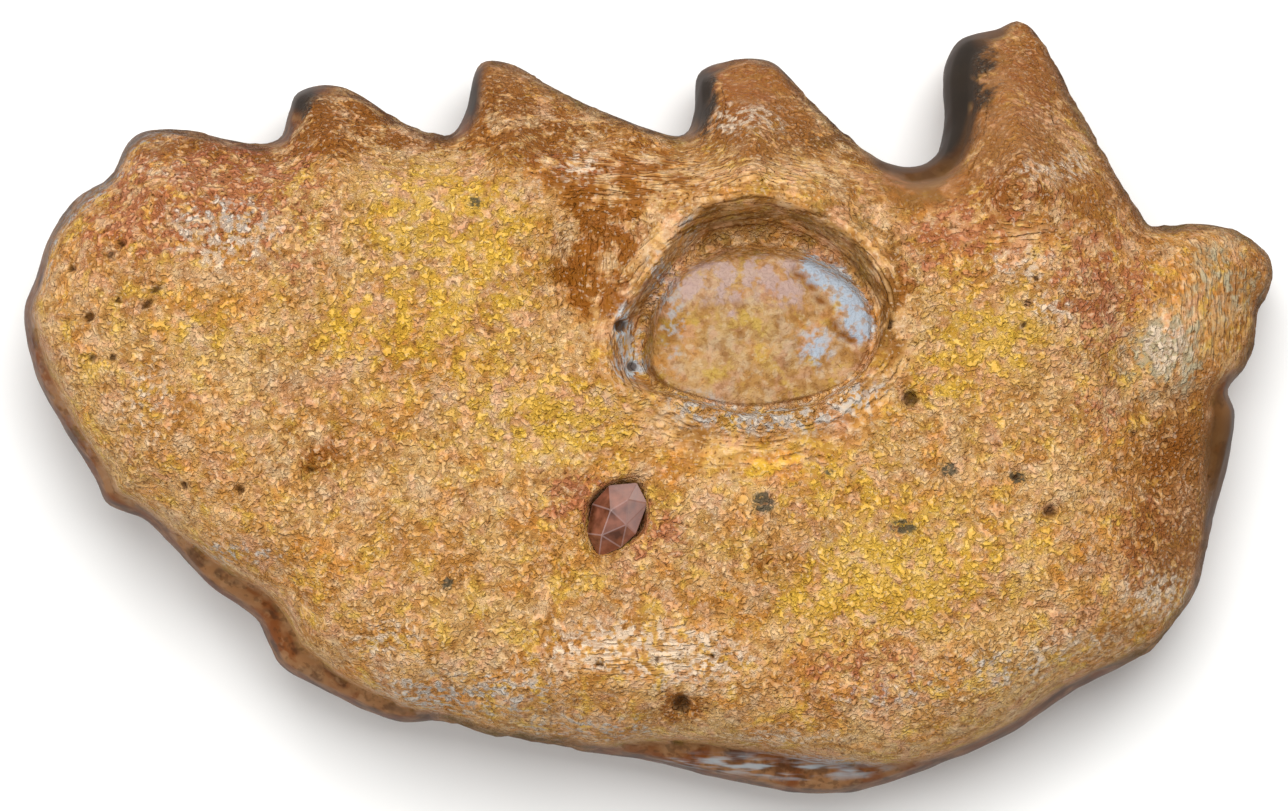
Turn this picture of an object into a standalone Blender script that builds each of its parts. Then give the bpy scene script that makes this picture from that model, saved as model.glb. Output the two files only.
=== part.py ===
"""A fossil lungfish tooth plate, lying on its chewing crown with the jaw bone that grew on it facing up.

X runs along the plate, +Y is the edge with the six cusps and +Z is up. Sizes are in millimetres.
"""

import math

import bmesh
import bpy
import numpy as np
from mathutils import Matrix, Vector, noise

MM = 0.001

# The plate's edge seen from above, clockwise from its left end: x, y and how far the crown stands out
# from under the bone there
CUSPED_EDGE = [
    (-23.2, 3.4, 0.45), (-22.8, 4.8, 0.35), (-22.2, 6.5, 0.2), (-21.1, 7.8, 0.15), (-20.0, 8.6, 0.1),
    (-19.5, 9.6, 0.2), (-18.8, 10.2, 0.2), (-17.6, 10.3, 0.0), (-16.1, 10.0, 0.0), (-14.6, 9.7, 0.0),
    (-13.7, 10.0, 0.2), (-13.4, 11.0, 0.7), (-13.1, 11.7, 0.7), (-12.0, 12.0, 0.2), (-10.8, 11.6, 0.0),
    (-9.4, 10.7, 0.0), (-8.1, 10.1, 0.0), (-7.3, 10.1, 0.1), (-6.8, 10.9, 0.5), (-6.5, 12.4, 0.3),
    (-6.0, 12.9, 0.1), (-5.0, 12.7, 0.0), (-3.8, 12.0, 0.0), (-2.6, 11.3, 0.0), (-0.9, 10.6, 0.0),
    (0.7, 10.1, 0.0), (1.4, 10.2, 0.2), (1.7, 11.0, 0.55), (1.8, 12.3, 0.55), (2.5, 12.8, 0.2),
    (3.7, 13.0, 0.0), (4.8, 12.7, 0.0), (5.9, 11.5, 0.0), (7.3, 10.1, 0.0), (8.5, 9.2, 0.2),
    (9.8, 8.9, 0.6), (10.7, 9.4, 0.8), (11.0, 10.6, 0.9), (11.0, 12.5, 1.1), (11.6, 13.7, 0.8),
    (13.0, 14.1, 0.3), (13.8, 14.4, 0.0), (14.5, 13.9, 0.0), (15.4, 12.2, 0.0), (16.8, 9.6, 0.0),
    (18.1, 7.3, 0.0), (18.8, 6.7, 0.0), (20.8, 6.8, 0.0), (22.2, 6.4, 0.0), (23.0, 5.7, 0.0),
]
ROUND_EDGE = [
    (23.2, 4.9, 0.0), (22.7, 3.7, 0.0), (22.5, 2.5, 0.0), (22.1, 1.4, 0.1), (21.5, 0.6, 0.5),
    (21.8, -0.3, 1.2), (21.6, -1.8, 1.0), (21.2, -3.5, 0.45), (20.8, -5.1, 0.15), (20.4, -6.8, 0.2),
    (19.6, -8.0, 0.0), (18.2, -9.3, 0.1), (15.6, -10.7, 0.45), (13.4, -12.2, 0.4), (10.6, -13.4, 0.4),
    (7.8, -14.3, 1.1), (5.6, -14.4, 1.6), (3.0, -13.9, 1.4), (0.0, -13.2, 0.85), (-2.0, -12.9, 0.25),
    (-3.7, -12.5, 0.0), (-5.7, -12.2, 0.0), (-7.7, -11.7, 0.1), (-9.4, -11.7, 0.8), (-11.4, -10.9, 0.75),
    (-13.5, -9.8, 1.2), (-14.1, -8.9, 1.2), (-14.7, -7.8, 0.9), (-16.4, -6.6, 1.0), (-17.8, -5.1, 0.5),
    (-18.8, -4.2, 0.4), (-20.1, -3.6, 0.7), (-20.6, -2.6, 0.6), (-21.8, -0.7, 0.55), (-22.8, 1.2, 0.7),
]

# Cusp tips, the notches between them and stations round the smooth edge: x, y, the heights at which
# the edge turns over to the bone side and to the chewing side, and x and y of the root inside it
EDGE_STATIONS = [
    (-23.2, 3.4, 7.5, 3.0, -19.5, 2.8), (-18.8, 10.2, 7.5, 1.3, -16.8, 7.2),
    (-15.1, 9.9, 8.4, 4.2, -14.2, 7.6), (-13.1, 11.7, 5.8, 1.2, -11.9, 8.0),
    (-7.3, 10.1, 8.4, 5.0, -7.6, 7.8), (-6.0, 12.9, 4.8, 1.1, -4.9, 8.6),
    (-0.6, 10.5, 8.4, 5.4, -0.2, 8.4), (2.5, 12.8, 4.0, 1.0, 3.4, 9.0),
    (9.3, 9.0, 8.2, 5.5, 9.2, 6.9), (11.0, 10.6, 5.6, 3.4, 11.8, 7.0),
    (12.8, 14.1, 2.8, 1.0, 13.8, 7.4), (18.8, 6.7, 7.4, 4.0, 17.2, 5.0),
    (23.0, 5.7, 5.4, 1.3, 20.2, 4.0), (21.5, 0.6, 6.6, 3.0, 19.0, 1.0),
    (21.2, -3.5, 5.2, 2.2, 18.4, -2.6), (18.2, -9.3, 5.8, 2.4, 15.8, -6.8),
    (5.6, -14.4, 5.6, 2.6, 5.2, -11.0), (-7.7, -11.7, 6.2, 2.8, -6.8, -8.8),
    (-13.5, -9.8, 5.6, 2.8, -11.6, -7.0), (-20.1, -3.6, 6.6, 3.0, -17.2, -2.0),
]

# The broad table of bone, and how it falls away toward the cusps and toward the right end
TABLE_HEIGHT = 12.4
TABLE_CROWN = 0.9
CUSP_FALL_FROM = 8.0
CUSP_FALL = 0.8
RIGHT_FALL_FROM = 14.5
RIGHT_FALL = 0.16
ROLL_OFF = 3.2
SHOULDER_RISE = 0.5
SHOULDER_RUN = 1.0
LEDGE_FULL = 0.6
LEDGE_RISE = 0.9
CROWN_STEP = 0.7
CROWN_STEP_RUN = 0.45
EDGE_ROUNDING = 0.3
EDGE_BLEND = 0.3
WIDEST_SHARE = 0.55
LEAST_STRIP = 0.12
UNDERSIDE_INSET = 0.6

# Broad swells and hollows of the bone: x, y, half length, half width, height
SWELLS = [
    (-1.9, 5.2, 1.6, 2.6, -1.1), (0.5, -1.6, 5.0, 1.2, -0.35), (-14.5, 5.0, 3.5, 2.2, 0.35),
    (-8.5, -1.0, 5.0, 3.0, -0.3), (-1.5, -9.6, 3.0, 1.6, 0.4), (9.0, -6.0, 4.5, 2.5, 0.3),
    (14.5, 3.5, 2.5, 2.0, 0.35), (17.6, 2.0, 0.9, 3.0, -0.5), (19.8, 3.2, 1.2, 2.4, 0.5),
    (18.6, -2.2, 1.3, 1.4, -0.6), (19.8, 0.3, 2.0, 0.5, -0.35), (-18.5, 3.0, 2.2, 3.2, 0.25), (3.6, 9.4, 0.9, 2.2, 0.9),
    (13.6, 9.6, 1.2, 3.2, 1.1), (-5.2, 9.8, 0.8, 2.0, 0.6), (-12.0, 9.6, 0.8, 1.6, 0.5),
]
ROUGHNESS = 0.11
ROUGHNESS_SIZE = 1.7

# The oval scar of the broken ascending process: its rim, clockwise from the left, and the domed core in it
SCAR_CENTRE = (3.9, 2.8)
SCAR_RIM = [
    (-1.4, 2.9), (0.0, 5.0), (1.7, 7.4), (3.9, 7.9), (6.2, 7.3), (8.1, 5.7), (8.8, 3.6),
    (8.1, 1.5), (6.2, 0.0), (3.6, -0.4), (1.2, 0.2), (-1.3, 0.9),
]
RIM_RISE = 0.35
RIM_SPREAD = 0.9
SCAR_DEPTH = 1.6
SCAR_FULL_WIDTH = 2.4
CORE_RIM = [
    (0.2, 1.9), (0.6, 3.6), (1.7, 4.9), (3.8, 5.4), (6.0, 5.1), (7.7, 3.9), (8.0, 2.4),
    (7.3, 1.1), (5.6, 0.4), (3.4, 0.15), (1.6, 0.5), (0.6, 1.0),
]
CORE_SUNK = 0.35
CORE_EDGE_SUNK = 0.85
CORE_LEAST_SUNK = 0.35

# The chewing side: its ridges run out from the heel to the cusp tips and are worn flat where they rest
HEEL = (11.0, -5.5)
HEEL_WEAR = 0.12
CREST_WEAR = 0.85
VALLEY_SHAPE = 1.35

# How the surface is divided, from the middle of the scar out over the edge and in to the heel
SPOKES = 160
CORE_RINGS = (0.3, 0.6, 0.85, 1.0)
HOLLOW_RINGS = (0.18, 0.5, 0.8, 1.0)
TABLE_RINGS = (0.06, 0.17, 0.36, 0.6, 1.0)
CUSP_RINGS = (0.33, 0.67, 1.0)
CROWN_RINGS = (0.92, 0.82, 0.68, 0.52, 0.37, 0.22, 0.1)
EDGE_SAMPLES = 480
EDGE_LENGTH = 150.0
RELAXING = 5.5

# Pits of the bone: x, y, radius
PITS = [
    (9.6, 0.3, 0.38), (14.7, -3.8, 0.32), (1.2, -11.0, 0.36), (-18.5, 3.8, 0.3), (-20.6, 3.3, 0.3),
    (-21.3, 5.1, 0.26), (-15.0, -3.0, 0.28), (-1.0, 2.95, 0.28), (-0.6, 1.5, 0.24), (-1.8, -9.4, 0.24),
]
PIT_SINK = 0.1
ABOVE_ALL = 50.0

# The crystal grain and the pit that it sits in
GRAIN_CENTRE = (-1.2, -4.0)
GRAIN_HALF_LENGTH = 1.4
GRAIN_HALF_WIDTH = 0.95
GRAIN_THICKNESS = 1.5
GRAIN_TURN = 62
GRAIN_TILT = 9
GRAIN_PROUD = 0.35
GRAIN_GAP = 0.3
GRAIN_PIT_FLARE = 1.12
GRAIN_FOOT = 0.8
GRAIN_TOP = 0.55

BONE_COLOUR = (0.50, 0.24, 0.06, 1.0)
GRAIN_COLOUR = (0.12, 0.05, 0.035, 1.0)


def clear_scene():
    for stale in list(bpy.data.objects):
        bpy.data.objects.remove(stale, do_unlink=True)


def new_collection(name):
    collection = bpy.data.collections.new(name)
    bpy.context.scene.collection.children.link(collection)
    return collection


def new_material(name, colour, roughness):
    material = bpy.data.materials.new(name)
    material.use_nodes = True
    shader = material.node_tree.nodes["Principled BSDF"]
    shader.inputs["Base Color"].default_value = colour
    shader.inputs["Roughness"].default_value = roughness
    shader.inputs["Metallic"].default_value = 0.0
    return material


def new_object(name, mesh, collection, material=None):
    body = bpy.data.objects.new(name, mesh)
    collection.objects.link(body)
    if material:
        mesh.materials.append(material)
    return body


def mesh_of(name, shape, smooth):
    bmesh.ops.recalc_face_normals(shape, faces=shape.faces)
    mesh = bpy.data.meshes.new(name)
    shape.to_mesh(mesh)
    shape.free()
    mesh.polygons.foreach_set("use_smooth", [smooth] * len(mesh.polygons))
    return mesh


def smoothstep(amount):
    amount = np.clip(amount, 0.0, 1.0)
    return amount * amount * (3.0 - 2.0 * amount)


def closed_curve(points, count):
    """Evenly spaced points on a smooth closed curve through these, anticlockwise from the left."""
    here = np.array(points)[::-1]
    before = np.roll(here, 1, axis=0)
    after = np.roll(here, -1, axis=0)
    beyond = np.roll(here, -2, axis=0)
    share = np.linspace(0.0, 1.0, 16, endpoint=False)[:, None, None]
    curve = here + 0.5 * share * (after - before)
    curve = curve + 0.5 * share**2 * (2 * before - 5 * here + 4 * after - beyond)
    curve = curve + 0.5 * share**3 * (3 * here - before - 3 * after + beyond)
    curve = curve.transpose(1, 0, 2).reshape(-1, here.shape[1])
    curve = np.vstack([curve, curve[:1]])
    steps = np.linalg.norm(np.diff(curve[:, :2], axis=0), axis=1)
    along = np.concatenate([[0.0], np.cumsum(steps)])
    wanted = np.linspace(0.0, along[-1], count, endpoint=False)
    return np.stack([np.interp(wanted, along, column) for column in curve.T], axis=1)


def relaxed(ring, width):
    """The closed ring averaged along itself over about this width in millimetres."""
    waves = np.fft.rfftfreq(len(ring), EDGE_LENGTH / len(ring))
    damping = np.exp(-2.0 * (math.pi * waves * width) ** 2)[:, None]
    return np.fft.irfft(np.fft.rfft(ring, axis=0) * damping, len(ring), axis=0)


def inward(ring):
    """Unit directions from an anticlockwise ring toward its inside."""
    along = np.roll(ring, -1, axis=0) - np.roll(ring, 1, axis=0)
    along = relaxed(along, 0.8)
    across = np.stack([-along[:, 1], along[:, 0]], axis=1)
    return across / np.linalg.norm(across, axis=1)[:, None]


def along_edge(ring):
    """The stations' two heights and root places, carried smoothly along every point of the ring."""
    steps = np.linalg.norm(np.roll(ring, -1, axis=0) - ring, axis=1)
    along = np.concatenate([[0.0], np.cumsum(steps)[:-1]])
    stations = []
    for x, y, *values in EDGE_STATIONS:
        nearest = np.argmin(np.hypot(ring[:, 0] - x, ring[:, 1] - y))
        stations.append((along[nearest], *values))
    at, *columns = np.array(sorted(stations)).T
    carried = [np.interp(along, at, column, period=steps.sum()) for column in columns]
    return relaxed(np.stack(carried, axis=1), 0.6)


class Edge:
    """The plate's edge, sampled finely, and what it says about any point inside it."""

    def __init__(self):
        table = closed_curve(CUSPED_EDGE + ROUND_EDGE, EDGE_SAMPLES)
        self.ring = table[:, :2]
        self.ledge = np.maximum(relaxed(table[:, 2:], 0.4)[:, 0], 0.0)
        carried = along_edge(self.ring)
        self.above, self.below = carried[:, :2].T
        self.root = carried[:, 2:]

    def beside(self, points):
        """Distance to the edge, and the ledge and upper edge height nearby."""
        apart = np.linalg.norm(points[:, None, :] - self.ring[None, :, :], axis=2)
        weights = 1.0 / (apart**2 + EDGE_BLEND**2) ** 2
        weights /= weights.sum(axis=1)[:, None]
        return apart.min(axis=1), weights @ self.ledge, weights @ self.above


def table_height(points):
    """The bone's surface away from its edge and its scar."""
    x, y = points.T
    height = TABLE_HEIGHT - TABLE_CROWN * ((x + 2.0) / 22.0) ** 2 - TABLE_CROWN * (y / 15.0) ** 2
    height -= CUSP_FALL * np.maximum(y - CUSP_FALL_FROM, 0.0) ** 1.25
    height -= RIGHT_FALL * np.maximum(x - RIGHT_FALL_FROM, 0.0) ** 1.5
    for at_x, at_y, half_length, half_width, rise in SWELLS:
        height += rise * np.exp(-(((x - at_x) / half_length) ** 2) - ((y - at_y) / half_width) ** 2)
    return height


def scar_height(core, hollow, width, beyond):
    """What the scar adds, by the shares of the way out over its core and then across the hollow round it."""
    wide = smoothstep(width / SCAR_FULL_WIDTH)
    floor = smoothstep(hollow / 0.3) * (1.0 - smoothstep((hollow - 0.45) / 0.55))
    raised = RIM_RISE * smoothstep((hollow - 0.5) / 0.5) * np.exp(-((beyond / RIM_SPREAD) ** 2))
    core_edge = CORE_EDGE_SUNK * (CORE_LEAST_SUNK + (1.0 - CORE_LEAST_SUNK) * wide)
    sunk = (CORE_SUNK + (core_edge - CORE_SUNK) * core**2) * (1.0 - smoothstep((hollow - 0.3) / 0.7))
    return raised - sunk - floor * SCAR_DEPTH * wide


def bone_height(points, edge):
    """The height of the bone side without its scar, over the crown's ledge where that stands out."""
    apart, ledge, above = edge.beside(points)
    over = apart - ledge
    standing_out = smoothstep(ledge / LEDGE_FULL)
    outward = 1.0 - np.clip(apart / np.maximum(ledge, SHOULDER_RUN), 0.0, 1.0)
    bulge = (SHOULDER_RISE + LEDGE_RISE * standing_out) * np.sqrt(1.0 - outward**2)
    shoulder = above + bulge + CROWN_STEP * standing_out * smoothstep(over / CROWN_STEP_RUN)
    rounded = np.sqrt(1.0 - (1.0 - np.clip(over / ROLL_OFF, 0.0, 1.0)) ** 2)
    return shoulder + (table_height(points) - shoulder) * rounded


def rough(points):
    """Small unevenness, the same on every run."""
    found = []
    for x, y, z in points:
        found.append(noise.noise(Vector((x, y, z)) / ROUGHNESS_SIZE))
    return ROUGHNESS * np.array(found)


def facing(curve, turn):
    """The points of a closed curve that lie in these directions from the scar's centre."""
    ring = closed_curve(curve, EDGE_SAMPLES)
    at = np.arctan2(*(ring - SCAR_CENTRE).T[::-1])
    return np.stack([np.interp(turn, at, column, period=math.tau) for column in ring.T], axis=1)


def bone_rings(edge, outline, ledge, root):
    """Rings of points on the bone side, from the scar's centre to the crown's shoulder."""
    turn = np.arctan2(*(root - SCAR_CENTRE).T[::-1])
    core = facing(CORE_RIM, turn)
    rim = facing(SCAR_RIM, turn)
    width = np.linalg.norm(rim - core, axis=1)
    rings = []
    for share in CORE_RINGS:
        points = SCAR_CENTRE + (core - SCAR_CENTRE) * share
        rings.append((points, bone_height(points, edge) + scar_height(share, 0.0, width, 0.0)))
    for share in HOLLOW_RINGS:
        points = core + (rim - core) * share
        rings.append((points, bone_height(points, edge) + scar_height(1.0, share, width, 0.0)))
    into = inward(outline)
    bone_edge = outline + into * (ledge + CROWN_STEP_RUN + 0.1)[:, None]
    spread = [rim * (1.0 - share) + root * share for share in TABLE_RINGS]
    for share in CUSP_RINGS:
        spread.append(root * (1.0 - share) + relaxed(bone_edge, 1.0 - share) * share)
    for points in spread:
        beyond = np.linalg.norm(points - rim, axis=1)
        rings.append((points, bone_height(points, edge) + scar_height(1.0, 1.0, width, beyond)))
    foot = outline + into * np.maximum(ledge, EDGE_ROUNDING + LEAST_STRIP)[:, None]
    rings.append((foot, bone_height(foot, edge)))
    rounded = outline + into * EDGE_ROUNDING
    rings.append((rounded, bone_height(rounded, edge)))
    return rings


def edge_rings(outline, above, below):
    """The plate's upright edge: its widest ring, and the ring where it turns under."""
    widest = WIDEST_SHARE * above + (1.0 - WIDEST_SHARE) * below
    return [(outline, widest), (outline + inward(outline) * EDGE_ROUNDING, below)]


def crown_rings(outline, below):
    """Rings on the chewing side, from the edge in to the heel, where no point lies lower than 0."""
    heel = np.array(HEEL)
    inner = outline + inward(outline) * UNDERSIDE_INSET
    rings = []
    for share in CROWN_RINGS:
        points = heel * (1.0 - share) + relaxed(inner, RELAXING * (1.0 - share)) * share
        worn = HEEL_WEAR + CREST_WEAR * math.sin(math.pi * share * share)
        height = below * share**VALLEY_SHAPE - worn
        rings.append((points, np.maximum(height, 0.0)))
    return rings


def tooth_surface():
    """Every ring of the closed surface, each as points in millimetres, with its two poles."""
    edge = Edge()
    every = np.linspace(0, EDGE_SAMPLES, SPOKES, endpoint=False).astype(int)
    outline, ledge = edge.ring[every], edge.ledge[every]
    above, below = edge.above[every], edge.below[every]
    top = bone_rings(edge, outline, ledge, edge.root[every])
    rings = []
    for points, height in top + edge_rings(outline, above, below):
        ring = np.column_stack([points, height])
        ring[:, 2] += rough(ring)
        rings.append(ring)
    for points, height in crown_rings(outline, below):
        ring = np.column_stack([points, height])
        ring[:, 2] = np.maximum(ring[:, 2] + np.where(height > 0.0, rough(ring), 0.0), 0.0)
        rings.append(ring)
    centre = np.array([SCAR_CENTRE])
    peak = np.column_stack([centre, bone_height(centre, edge) - CORE_SUNK])
    heel = np.array([[HEEL[0], HEEL[1], 0.0]])
    return [peak.repeat(SPOKES, axis=0)] + rings + [heel.repeat(SPOKES, axis=0)]


def tooth_mesh():
    """A ball whose rings are moved onto the tooth's surface."""
    rings = tooth_surface()
    last = len(rings) - 1
    shape = bmesh.new()
    bmesh.ops.create_uvsphere(shape, u_segments=SPOKES, v_segments=last, radius=1.0)
    for vert in shape.verts:
        down = round(math.acos(max(-1.0, min(1.0, vert.co.z))) / math.pi * last)
        turn = round((math.atan2(vert.co.y, vert.co.x) / math.tau + 0.5) * SPOKES) % SPOKES
        vert.co = Vector(rings[down][turn]) * MM
    return mesh_of("tooth_plate", shape, True)


def surface_at(body, x, y):
    """The height of the body's upper side at x and y, in millimetres."""
    hit, place, _, _ = body.ray_cast(Vector((x, y, ABOVE_ALL)) * MM, Vector((0.0, 0.0, -1.0)))
    return place.z / MM if hit else 0.0


def add_cut(body, cutter):
    cutter.hide_render = True
    cut = body.modifiers.new(cutter.name, "BOOLEAN")
    cut.operation = "DIFFERENCE"
    cut.solver = "EXACT"
    cut.object = cutter


def cut_pits(body, cutters):
    """Small round foramina, one cutter for them all."""
    shape = bmesh.new()
    for x, y, radius in PITS:
        place = Vector((x, y, surface_at(body, x, y) - PIT_SINK)) * MM
        at_place = Matrix.Translation(place)
        bmesh.ops.create_icosphere(shape, subdivisions=1, radius=radius * MM, matrix=at_place)
    add_cut(body, new_object("pit_cutter", mesh_of("pit_cutter", shape, False), cutters))


def grain_shape(height, spare):
    """The angular grain, or with some spare all round it the pit that it sits in."""
    long_side = (GRAIN_HALF_LENGTH + spare) * MM
    wide_side = (GRAIN_HALF_WIDTH + spare) * MM
    shape = bmesh.new()
    bmesh.ops.create_cone(
        shape, cap_ends=True, segments=6, radius1=GRAIN_FOOT, radius2=1.0 if spare else GRAIN_TOP, depth=1.0
    )
    bmesh.ops.scale(shape, vec=(long_side, wide_side, GRAIN_THICKNESS * MM), verts=shape.verts)
    if spare:
        bmesh.ops.scale(shape, vec=(GRAIN_PIT_FLARE, GRAIN_PIT_FLARE, 1.0), verts=shape.verts)
    tilt = Matrix.Rotation(math.radians(GRAIN_TILT), 4, "Y")
    turn = Matrix.Rotation(math.radians(GRAIN_TURN), 4, "Z")
    middle = height + GRAIN_PROUD - GRAIN_THICKNESS / 2 - spare
    place = Matrix.Translation(Vector((*GRAIN_CENTRE, middle)) * MM)
    shape.transform(place @ turn @ tilt)
    return shape


def make_tooth_plate(parts, cutters):
    bone = new_material("fossil_bone", BONE_COLOUR, 0.62)
    plate = new_object("tooth_plate", tooth_mesh(), parts, bone)
    bpy.context.view_layer.update()
    cut_pits(plate, cutters)
    return plate


def make_mineral_grain(plate, parts, cutters):
    height = surface_at(plate, *GRAIN_CENTRE)
    pit_mesh = mesh_of("grain_pit_cutter", grain_shape(height, GRAIN_GAP), False)
    add_cut(plate, new_object("grain_pit_cutter", pit_mesh, cutters))
    crystal = new_material("dark_crystal", GRAIN_COLOUR, 0.25)
    grain_mesh = mesh_of("mineral_grain", grain_shape(height, 0.0), False)
    return new_object("mineral_grain", grain_mesh, parts, crystal)


def main():
    clear_scene()
    parts = new_collection("lungfish_tooth_plate")
    cutters = new_collection("cutters")
    plate = make_tooth_plate(parts, cutters)
    make_mineral_grain(plate, parts, cutters)


main()
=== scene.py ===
import math

import bmesh
import bpy
import numpy as np
from mathutils import Matrix, Vector, noise


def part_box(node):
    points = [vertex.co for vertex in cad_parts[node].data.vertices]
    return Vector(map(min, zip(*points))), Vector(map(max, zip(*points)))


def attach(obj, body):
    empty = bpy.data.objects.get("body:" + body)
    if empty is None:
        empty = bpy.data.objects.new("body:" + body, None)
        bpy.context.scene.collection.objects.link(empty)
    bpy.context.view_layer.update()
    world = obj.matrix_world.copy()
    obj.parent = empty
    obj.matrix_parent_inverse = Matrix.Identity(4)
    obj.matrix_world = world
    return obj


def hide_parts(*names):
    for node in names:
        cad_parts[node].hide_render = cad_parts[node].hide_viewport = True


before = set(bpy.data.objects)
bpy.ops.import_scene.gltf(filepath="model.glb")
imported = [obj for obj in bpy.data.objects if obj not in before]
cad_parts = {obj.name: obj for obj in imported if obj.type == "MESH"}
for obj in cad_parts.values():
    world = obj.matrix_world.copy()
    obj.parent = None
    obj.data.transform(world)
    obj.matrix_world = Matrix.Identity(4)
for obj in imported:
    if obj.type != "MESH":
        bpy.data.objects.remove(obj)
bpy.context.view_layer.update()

# The tooth plate's shape
# A lungfish's crushing tooth, fossilised together with the jaw bone that grew on its back. It lies on its
# ridged crown, so the rough bone, the oval scar of a broken process and the cusps' backs face up.
MM = 0.001

# The edge seen from above, clockwise from the left end: x, y and how far the crown stands out there
CUSPED_EDGE = [
    (-23.2, 3.4, 0.45), (-22.8, 4.8, 0.35), (-22.2, 6.5, 0.2), (-21.1, 7.8, 0.15), (-20.0, 8.6, 0.1),
    (-19.5, 9.6, 0.2), (-18.8, 10.2, 0.2), (-17.6, 10.3, 0.0), (-16.1, 10.0, 0.0), (-14.6, 9.7, 0.0),
    (-13.7, 10.0, 0.2), (-13.4, 11.0, 0.7), (-13.1, 11.7, 0.7), (-12.0, 12.0, 0.2), (-10.8, 11.6, 0.0),
    (-9.4, 10.7, 0.0), (-8.1, 10.1, 0.0), (-7.3, 10.1, 0.1), (-6.8, 10.9, 0.5), (-6.5, 12.4, 0.3),
    (-6.0, 12.9, 0.1), (-5.0, 12.7, 0.0), (-3.8, 12.0, 0.0), (-2.6, 11.3, 0.0), (-0.9, 10.6, 0.0),
    (0.7, 10.1, 0.0), (1.4, 10.2, 0.2), (1.7, 11.0, 0.55), (1.8, 12.3, 0.55), (2.5, 12.8, 0.2),
    (3.7, 13.0, 0.0), (4.8, 12.7, 0.0), (5.9, 11.5, 0.0), (7.3, 10.1, 0.0), (8.5, 9.2, 0.2),
    (9.8, 8.9, 0.6), (10.7, 9.4, 0.8), (11.0, 10.6, 0.9), (11.0, 12.5, 1.1), (11.6, 13.7, 0.8),
    (13.0, 14.1, 0.3), (13.8, 14.4, 0.0), (14.5, 13.9, 0.0), (15.4, 12.2, 0.0), (16.8, 9.6, 0.0),
    (18.1, 7.3, 0.0), (18.8, 6.7, 0.0), (20.8, 6.8, 0.0), (22.2, 6.4, 0.0), (23.0, 5.7, 0.0),
]
ROUND_EDGE = [
    (23.2, 4.9, 0.0), (22.7, 3.7, 0.0), (22.5, 2.5, 0.0), (22.1, 1.4, 0.1), (21.5, 0.6, 0.5),
    (21.8, -0.3, 1.2), (21.6, -1.8, 1.0), (21.2, -3.5, 0.45), (20.8, -5.1, 0.15), (20.4, -6.8, 0.2),
    (19.6, -8.0, 0.0), (18.2, -9.3, 0.1), (15.6, -10.7, 0.45), (13.4, -12.2, 0.4), (10.6, -13.4, 0.4),
    (7.8, -14.3, 1.1), (5.6, -14.4, 1.6), (3.0, -13.9, 1.4), (0.0, -13.2, 0.85), (-2.0, -12.9, 0.25),
    (-3.7, -12.5, 0.0), (-5.7, -12.2, 0.0), (-7.7, -11.7, 0.1), (-9.4, -11.7, 0.8), (-11.4, -10.9, 0.75),
    (-13.5, -9.8, 1.2), (-14.1, -8.9, 1.2), (-14.7, -7.8, 0.9), (-16.4, -6.6, 1.0), (-17.8, -5.1, 0.5),
    (-18.8, -4.2, 0.4), (-20.1, -3.6, 0.7), (-20.6, -2.6, 0.6), (-21.8, -0.7, 0.55), (-22.8, 1.2, 0.7),
]

# Cusp tips, notches and stations of the smooth edge: x, y, the heights at which the edge turns over to
# the bone side and to the chewing side, and x and y of the root inside it
EDGE_STATIONS = [
    (-23.2, 3.4, 7.5, 3.0, -19.5, 2.8), (-18.8, 10.2, 7.5, 1.3, -16.8, 7.2),
    (-15.1, 9.9, 8.4, 4.2, -14.2, 7.6), (-13.1, 11.7, 5.8, 1.2, -11.9, 8.0),
    (-7.3, 10.1, 8.4, 5.0, -7.6, 7.8), (-6.0, 12.9, 4.8, 1.1, -4.9, 8.6),
    (-0.6, 10.5, 8.4, 5.4, -0.2, 8.4), (2.5, 12.8, 4.0, 1.0, 3.4, 9.0), (9.3, 9.0, 8.2, 5.5, 9.2, 6.9),
    (11.0, 10.6, 5.6, 3.4, 11.8, 7.0), (12.8, 14.1, 2.8, 1.0, 13.8, 7.4),
    (18.8, 6.7, 7.4, 4.0, 17.2, 5.0), (23.0, 5.7, 5.4, 1.3, 20.2, 4.0), (21.5, 0.6, 6.6, 3.0, 19.0, 1.0),
    (21.2, -3.5, 5.2, 2.2, 18.4, -2.6), (18.2, -9.3, 5.8, 2.4, 15.8, -6.8),
    (5.6, -14.4, 5.6, 2.6, 5.2, -11.0), (-7.7, -11.7, 6.2, 2.8, -6.8, -8.8),
    (-13.5, -9.8, 5.6, 2.8, -11.6, -7.0), (-20.1, -3.6, 6.6, 3.0, -17.2, -2.0),
]
EDGE_LENGTH = 150.0
EDGE_SAMPLES = 900
LEAST_LEDGE = 0.3
DIRECTION_SMOOTHING = 0.8
STATION_SMOOTHING = 0.6
LEDGE_SMOOTHING = 0.4

# The table of bone, its fall toward the cusps and the right end, and the step down to the crown
TABLE_HEIGHT = 12.4
TABLE_CROWN = 0.9
TABLE_MIDDLE = -2.0
TABLE_HALF_LENGTH = 22.0
TABLE_HALF_WIDTH = 15.0
CUSP_FALL_FROM = 8.0
CUSP_FALL = 0.8
CUSP_FALL_CURVE = 1.25
RIGHT_FALL_FROM = 14.5
RIGHT_FALL = 0.16
RIGHT_FALL_CURVE = 1.5
ROLL_OFF = 3.2
SHOULDER_RISE = 0.5
SHOULDER_RUN = 1.0
LEDGE_FULL = 0.6
LEDGE_RISE = 0.9
CROWN_STEP = 0.7
CROWN_STEP_RUN = 0.45
STEP_CLEARANCE = 0.1
FOOT_INSET = 0.12
EDGE_ROUNDING = 0.3
EDGE_SQUARENESS = 2.5
EDGE_BLEND = 0.3
WIDEST_SHARE = 0.55
ENAMEL_UP_THE_STEP = 0.4
ENAMEL_FROM = -0.45
ENAMEL_FADE = 0.35
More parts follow.
